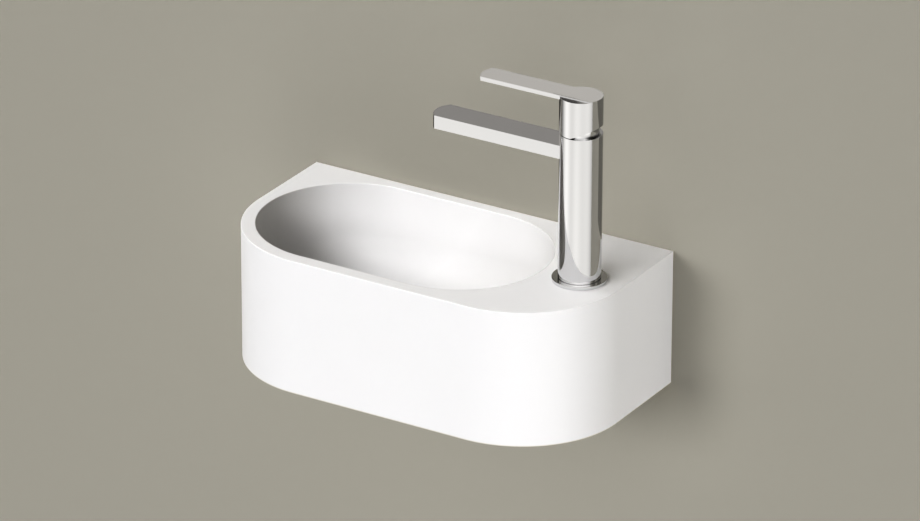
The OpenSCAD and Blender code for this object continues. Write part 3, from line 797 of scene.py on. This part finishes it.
spout_bar = prism("flat_spout", bar_outline(spout_reach, spout_half, tap_axis.x), spout_low.z, spout_high.z)
cut(spout_bar, round_bar("column_space", tap_axis, column_radius - braze_depth,
                         spout_low.z - past, spout_high.z + past, 144))
aerator_axis = Vector((tap_axis.x - spout_reach + tip_radius, tap_axis.y))
cut(spout_bar, round_bar("aerator_bore", aerator_axis, aerator_radius, spout_low.z - past,
                         (spout_low.z + spout_high.z) / 2 + channel_height / 2, 64))
broken_edges(spout_bar, 0.35 * MM)
settle(spout_bar)
finish_piece(spout_bar, chrome, "basin", "spout")
dress("aerator_housing", plastic)
dress("aerator_screen", plastic, 0.05 * MM)


# Cartridge: a plastic housing with two lapped ceramic discs, a rotor and its pin, held by a brass ring nut.
def zinc_plate():
    material, tree, shader = start_material("zinc_plated_steel", Metallic=1.0)
    spangle = cloud(tree, 1.5 * MM, 3)
    feed(tree, shader, "Base Color", mix_colours(tree, spangle, (0.52, 0.53, 0.54, 1), (0.66, 0.67, 0.69, 1)))
    feed(tree, shader, "Roughness", 0.28 + 0.2 * spangle)
    feed(tree, shader, "Normal", bump(tree, cloud(tree, 0.4 * MM, 2), 0.01 * MM))
    return material


def lapped_ceramic():
    material, tree, shader = start_material("lapped_disc_ceramic", Specular_IOR_Level=0.6)
    grain = cloud(tree, 0.25 * MM, 3)
    feed(tree, shader, "Base Color", mix_colours(tree, grain, (0.80, 0.79, 0.74, 1), (0.90, 0.89, 0.85, 1)))
    feed(tree, shader, "Roughness", 0.16 + 0.12 * grain)
    feed(tree, shader, "Normal", bump(tree, grain, 0.002 * MM))
    return material


zinc = zinc_plate()
disc_ceramic = lapped_ceramic()
for inner in ("cartridge_housing", "rotor"):
    dress(inner, plastic)
for inner in ("fixed_disc", "moving_disc"):
    dress(inner, disc_ceramic)
dress("inlet_seals", rubber)
dress("pivot_pin", zinc)
dress("lever_stem", brass)
dress("retaining_nut", brass)


# Neck: a chromed cover over the cartridge's nut, part of a ball about the lever's pivot.
pivot_z = frame["joints"][1]["pos_m"][2]
neck_low, neck_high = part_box("neck_dome")
neck_ball = 15.2 * MM
neck_mouth = 8.5 * MM
neck_roof_z = neck_high.z - 2 * MM
neck_bore = 12.6 * MM
nut_bore = 13.7 * MM
nut_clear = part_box("retaining_nut")[1].z + 0.2 * MM
neck_steps = 14
neck_arc = []
for i in range(neck_steps + 1):
    z = neck_low.z + (neck_high.z - neck_low.z) * i / neck_steps
    neck_arc.append((math.sqrt(neck_ball ** 2 - (z - pivot_z) ** 2), z, 0))
neck = turned("ball_neck", tap_axis, neck_arc[:-1] + [
    (neck_arc[-1][0], neck_arc[-1][1], 0.3 * MM), (neck_mouth, neck_high.z, 0.3 * MM), (neck_mouth, neck_roof_z, 0),
    (neck_bore, neck_roof_z, 0), (neck_bore, nut_clear, 0), (nut_bore, nut_clear, 0), (nut_bore, neck_low.z, 0)])


def shaded_chrome():
    """Chrome with painted shade: its foot is dark left and right, as the joint below the cap looks in the
    photograph.
    """
    material = chrome.copy()
    material.name = "chrome_with_painted_shade"
    tree = material.node_tree
    shader = tree.nodes["Principled BSDF"]
    plate = Wire(tree, shader.inputs["Base Color"].links[0].from_socket)
    x, y, z = split(tree, object_place(tree))
    left_side = 1 - x.over(tap_axis.x + 1.5 * MM, tap_axis.x + 3.5 * MM)
    right_side = x.over(tap_axis.x + 10 * MM, tap_axis.x + 12.5 * MM)
    # Painted shade on the foot, left and right of a bright middle
    painted_shade = (1 - z.over(tap_high.z + 0.8 * MM, tap_high.z + 2.4 * MM)) * (left_side + right_side)
    feed(tree, shader, "Base Color", mix_colours(tree, painted_shade, plate, (0.12, 0.12, 0.12, 1)))
    return material


finish_piece(neck, shaded_chrome(), "basin", "neck_dome")


# Cap and lever in one chromed piece: the flat lever runs across the cap's top between two lower shoulders,
# and the cap is cut on a slant below, which lets it tilt on the neck. The screw behind the plug grips the stem.
cap_low, cap_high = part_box("lever_cap")
cap_gap = 0.55 * MM  # 0.8 mm in the solids
cap_z = tap_high.z + cap_gap
lever_half = 10.7 * MM
lever_reach = tap_axis.x - cap_low.x
lever_thickness = 3.6 * MM
shoulder_drop = 0.55 * MM  # 1 mm in the solids
shoulder_run = 16 * MM
cap_bore = 16.4 * MM
ceiling_z = cap_high.z - 6 * MM
cap_cut = math.radians(23.5)
boss_radius = 7.5 * MM
boss_low_z = neck_high.z + 5.5 * MM
socket_half = 3.55 * MM
stem_top_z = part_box("lever_stem")[1].z
plug_low, plug_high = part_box("indicator_plug")
plug_z = (plug_low.z + plug_high.z) / 2
plug_radius = 3 * MM
clear = 2 * column_radius  # well outside the cap
cap = round_bar("cap_with_lever", tap_axis, column_radius, cap_z, cap_high.z, 144)
for side in (-1, 1):
    edges = sorted((tap_axis.y + side * lever_half, tap_axis.y + side * clear))
    cut(cap, prism("shoulder", box_outline(tap_axis.x - shoulder_run, tap_axis.x + clear, *edges),
                   cap_high.z - shoulder_drop, cap_high.z + past))
unite(cap, prism("lever", bar_outline(lever_reach, lever_half, tap_axis.x),
                 cap_high.z - lever_thickness, cap_high.z))
cut(cap, round_bar("cap_hollow", tap_axis, cap_bore, cap_z - past, ceiling_z, 96))
unite(cap, round_bar("boss", tap_axis, boss_radius, boss_low_z, ceiling_z + 0.5 * MM, 48))
socket = box_outline(tap_axis.x - socket_half, tap_axis.x + socket_half,
                     tap_axis.y - socket_half, tap_axis.y + socket_half)
cut(cap, prism("stem_socket", socket, boss_low_z - past, stem_top_z))
wedge = prism("slant", box_outline(0, 1.5 * clear, -clear, clear), -clear, 0)
wedge.data.transform(Matrix.Translation((tap_axis.x, tap_axis.y, cap_z)) @ Matrix.Rotation(-cap_cut, 4, "Y"))
cut(cap, wedge)
plug_hole = round_bar("plug_hole", (0, 0), plug_radius, boss_radius, clear, 48)
plug_place = Matrix.Translation((tap_axis.x, tap_axis.y, plug_z))
plug_hole.data.transform(plug_place @ Matrix.Rotation(-math.pi / 2, 4, "Y"))
cut(cap, plug_hole)
broken_edges(cap, 0.25 * MM)
settle(cap)
finish_piece(cap, chrome, "lever", "lever_cap")
dress("grub_screw", zinc)


def hot_cold_mark():
    """Moulded in two halves: red on the side that gives hot water, blue on the other."""
    material, tree, shader = start_material("red_and_blue_plug", Specular_IOR_Level=0.5)
    x, y, z = split(tree, object_place(tree))
    hot = y.over(tap_axis.y - 0.05 * MM, tap_axis.y + 0.05 * MM)
    drift = cloud(tree, 2 * MM, 2)
    red = mix_colours(tree, drift, (0.50, 0.030, 0.025, 1), (0.60, 0.045, 0.035, 1))
    blue = mix_colours(tree, drift, (0.020, 0.060, 0.36, 1), (0.030, 0.085, 0.46, 1))
    feed(tree, shader, "Base Color", mix_colours(tree, hot, blue, red))
    feed(tree, shader, "Roughness", 0.22 + 0.12 * drift)
    feed(tree, shader, "Normal", bump(tree, cloud(tree, 0.4 * MM, 2), 0.004 * MM))
    return material


dress("indicator_plug", hot_cold_mark(), 0.1 * MM)


# Deck fixing under the tap: a threaded stud, a rubber pad, a zinc-plated clamp and a brass nut.
stud_low, stud_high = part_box("mounting_stud")
stud_axis = Vector(((stud_low.x + stud_high.x) / 2, (stud_low.y + stud_high.y) / 2))
stud_pitch = 1.25 * MM
stud_thread_depth = 0.6 * MM
stud = threaded("threaded_stud", stud_axis, (stud_high.x - stud_low.x) / 2, 0, stud_low.z, stud_high.z,
                tap_low.z, stud_pitch, stud_thread_depth, steps=40)
finish_piece(stud, zinc, "basin", "mounting_stud")
dress("deck_rubber", rubber)
dress("deck_clamp", zinc)
dress("stud_nut", brass, 0.3 * MM)


# Set: the wall that the basin hangs on, painted a warm grey, and a pale floor far below it.
# From behind both can be seen through, so that the basin's back and underside show. Soft patches of painted light
# and painted shade, each given by its centre, its half width and height, and its gain, fit the wall's shading to
# the photograph's.
wall_width = 16.0
wall_height = 6.0
wall_foot = -6.0
wall_y = 0.3 * MM
floor_drop = 0.85
wall_paint = (0.399, 0.385, 0.344, 1)
floor_paint = (0.80, 0.79, 0.77, 1)
painted_light_and_shade = [(128 * MM, 188 * MM, 39 * MM, 83 * MM, 0.23), (-195 * MM, 85 * MM, 50 * MM, 75 * MM, -0.07),
                 (60 * MM, -150 * MM, 190 * MM, 60 * MM, -0.035)]


def backdrop(name, corners, paint):
    """A plain board, matt, whose back can be seen through."""
    board = new_piece(name, [Vector(c) for c in corners], [(0, 1, 2, 3)], smooth=False)
    material, tree, shader = start_material(name + "_paint", Roughness=0.9, Specular_IOR_Level=0.0)
    behind = add_node(tree, "ShaderNodeNewGeometry", output=6)
    clear = add_node(tree, "ShaderNodeBsdfTransparent")
    board.data.materials.append(material)
    mixed = add_node(tree, "ShaderNodeMixShader", {}, {0: behind, 1: Wire(tree, shader.outputs[0]), 2: clear})
    tree.links.new(mixed.socket, tree.nodes["Material Output"].inputs[0])
    feed(tree, shader, "Base Color", paint(tree))
    return board


def brighter(colour, gain):
    return tuple((1 + gain) * part for part in colour[:3]) + (1,)


def uneven(tree, colour):
    return mix_colours(tree, cloud(tree, 400 * MM, 2), colour, brighter(colour, 0.01))


def wall_colour(tree):
    """Matt wall paint with its soft patches of painted light and painted shade."""
    x, y, z = split(tree, object_place(tree))
    colour = uneven(tree, wall_paint)
    for centre_x, centre_z, half_across, half_up, gain in painted_light_and_shade:
        across, upward = (x - centre_x) * (1 / half_across), (z - centre_z) * (1 / half_up)
        fading = reckon(tree, "EXPONENT", 0 - across * across - upward * upward)
        colour = mix_colours(tree, fading, colour, uneven(tree, brighter(wall_paint, gain)))
    return colour


wall_end = wall_width / 2
wall = backdrop("wall", [(-wall_end, wall_y, wall_foot), (wall_end, wall_y, wall_foot),
                         (wall_end, wall_y, wall_height), (-wall_end, wall_y, wall_height)], wall_colour)
if wall.data.polygons[0].normal.y > 0:
    wall.data.flip_normals()
floor = backdrop("floor", [(-wall_end, -wall_width, -floor_drop), (wall_end, -wall_width, -floor_drop),
                           (wall_end, wall_width, -floor_drop), (-wall_end, wall_width, -floor_drop)],
                 lambda tree: uneven(tree, floor_paint))
floor.visible_diffuse = floor.visible_glossy = floor.visible_transmission = floor.visible_shadow = False


# Cards at the wall, as photographers use for chrome: only mirror reflections see them. Black ones put painted shade
# into what the chrome mirrors, the tap's dark edges and its shoulder's dark shade; a grey one lies in the flat top
# of the spout, a pale one in the lever's.
card_y = 0.1 * MM
dark_left, dark_right, dark_behind_tap = 0.8, 0.45, 0.3
window_left, window_left_high, window_right = -60 * MM, 80 * MM, 155 * MM
window_step_z = 170 * MM
window_blur = 8 * MM
card_black = (0.02, 0.02, 0.02, 1), (0.03, 0.03, 0.03, 1)
pale_glow = (0.400, 0.387, 0.365, 1)
grey_glow = (0.255, 0.247, 0.235, 1)


def card(name, left, right, low, high, material, y=card_y):
    corners = [Vector((x, y, z)) for x, z in ((left, low), (right, low), (right, high), (left, high))]
    board = new_piece(name, corners, [(0, 1, 2, 3)], smooth=False)
    board.data.materials.append(material)
    board.visible_camera = board.visible_diffuse = board.visible_transmission = board.visible_shadow = False


def black_card():
    """Black paper that puts painted shade into the chrome's reflections, half see-through right behind the tap."""
    material, tree, shader = start_material("black_card", Roughness=0.9, Specular_IOR_Level=0.0)
    x, y, z = split(tree, object_place(tree))
    step = z.over(window_step_z - 3 * MM, window_step_z + 3 * MM)
    left_end = window_left + (window_left_high - window_left) * step
    beside = reckon(tree, "MAXIMUM", left_end - x, x - window_right)
    dark = dark_left + (dark_right - dark_left) * x.over(window_left_high, window_right)
    share = dark_behind_tap + (dark - dark_behind_tap) * beside.over(-window_blur, 0.0)
    feed(tree, shader, "Base Color", mix_colours(tree, cloud(tree, 20 * MM), *card_black))
    feed(tree, shader, "Alpha", share)
    return material


def glowing_card(name, glow):
    """A card that gives off an even light."""
    material, tree, shader = start_material(name, Roughness=0.9, Specular_IOR_Level=0.0, Emission_Strength=1.0)
    shade = cloud(tree, 60 * MM)
    feed(tree, shader, "Base Color", mix_colours(tree, shade, *card_black))
    feed(tree, shader, "Emission Color", mix_colours(tree, shade, glow, brighter(glow, 0.03)))
    return material


black = black_card()
card("card_behind", -320 * MM, 240 * MM, rim_z + 2 * MM, 250 * MM, black)
card("card_right", 240 * MM, 600 * MM, 190 * MM, 320 * MM, black)
card("card_pale", -300 * MM, 350 * MM, 283 * MM, 900 * MM, glowing_card("pale_card", pale_glow))
card("card_grey", -300 * MM, 240 * MM, 250 * MM, 283 * MM, glowing_card("grey_card", grey_glow))
card("card_over_shoulder", 58 * MM, 110 * MM, 317 * MM, 321 * MM, black, card_y / 2)


# Light: soft lamps far away. One group lights the basin, another only the wall, where the casting alone stops it,
# and a rear lamp shines through the wall. The chrome mirrors screens instead of the lamps. Each is given by its
# azimuth and elevation, its strength and, for a lamp, its spread. The strengths in the three lists are the result
# of a least-squares fit to the photograph's brightness, and only the rear lamp was given.
screen_softness = 9
daylight = (1, 0.985, 0.955, 1)
beyond_the_set = 0.42
lamps = [(88.2, -59.8, 1.444, 49), (80.5, -25.3, 0.927, 49), (12, 20, 0.899, 22), (-12, 35, 0.659, 22),
         (-80, 35, 0.604, 22), (-35, 50, 0.391, 22), (-35, 35, 0.244, 22), (-80, 20, 0.145, 22),
         (0, 88, 0.132, 49), (-80, 50, 0.017, 22)]
wall_lamps = [(-20, 10, 0.744, 22), (0, 14, 0.712, 49), (0, -30, 0.463, 49), (20, 30, 0.269, 49),
              (-50, 10, 0.246, 49)]
rear_lamp = (195, -30, 2.2, 20)
screens = [(10, 30, 0.746), (10, -55, 0.732), (80, 5, 0.596), (-55, -25, 0.551), (-60, 58, 0.454),
           (-50, -55, 0.446), (-30, 28, 0.413), (50, 30, 0.384), (-70, 30, 0.383), (5, -25, 0.317),
           (45, 5, 0.308), (62, -25, 0.243), (75, 58, 0.225), (35, -25, 0.148), (85, -25, 0.144),
           (-25, -25, 0.131), (85, 30, 0.064)]


def heading(azimuth, elevation):
    """Unit vector toward an azimuth, 0 in front and 90 on the right, and an elevation, both in degrees."""
    azimuth, elevation = math.radians(azimuth), math.radians(elevation)
    level = math.cos(elevation)
    return Vector((math.sin(azimuth) * level, -math.cos(azimuth) * level, math.sin(elevation)))


def light_group(name, thing, state):
    """A group for light linking that holds one thing, either alone or as the only one left out."""
    group = bpy.data.collections.new(name)
    group.objects.link(thing)
    group.collection_objects[0].light_linking.link_state = state
    return group


def soft_lamp(name, azimuth, elevation, strength, spread, lit, blocker=None):
    data = bpy.data.lights.new(name, "SUN")
    data.angle = math.radians(spread)
    data.energy = strength
    lamp = bpy.data.objects.new(name, data)
    lamp.rotation_euler = heading(azimuth, elevation).to_track_quat("Z", "Y").to_euler()
    lamp.visible_glossy = False
    lamp.light_linking.receiver_collection = lit
    lamp.light_linking.blocker_collection = blocker
    bpy.context.collection.objects.link(lamp)


all_but_wall = light_group("all_but_wall", wall, "EXCLUDE")
wall_alone = light_group("wall_alone", wall, "INCLUDE")
casting_blocks = light_group("casting_blocks", basin, "INCLUDE")
for i, lamp in enumerate(lamps):
    soft_lamp(f"lamp_{i + 1}", *lamp, all_but_wall)
soft_lamp("rear_lamp", *rear_lamp, all_but_wall, all_but_wall)
for i, lamp in enumerate(wall_lamps):
    soft_lamp(f"wall_lamp_{i + 1}", *lamp, wall_alone, casting_blocks)

studio = bpy.data.worlds.new("studio")
bpy.context.scene.world = studio
studio.use_nodes = True
studio.cycles_visibility.diffuse = False
tree = studio.node_tree
direction = add_node(tree, "ShaderNodeTexCoord")
glow = 0.0
for azimuth, elevation, strength in screens:
    facing = add_node(tree, "ShaderNodeVectorMath", {"operation": "DOT_PRODUCT"},
                      {0: direction, 1: heading(azimuth, elevation)}, 1)
    glow = reckon(tree, "EXPONENT", screen_softness * (facing - 1)) * strength + glow
seen = add_node(tree, "ShaderNodeLightPath")
plain = add_node(tree, "ShaderNodeMix", {"data_type": "FLOAT"}, {0: seen, 2: glow, 3: beyond_the_set})
tree.links.new(plain.socket, tree.nodes["Background"].inputs[1])
tree.nodes["Background"].inputs[0].default_value = daylight
bpy.context.scene.view_settings.view_transform = "Standard"
bpy.context.scene.view_settings.look = "Very High Contrast"
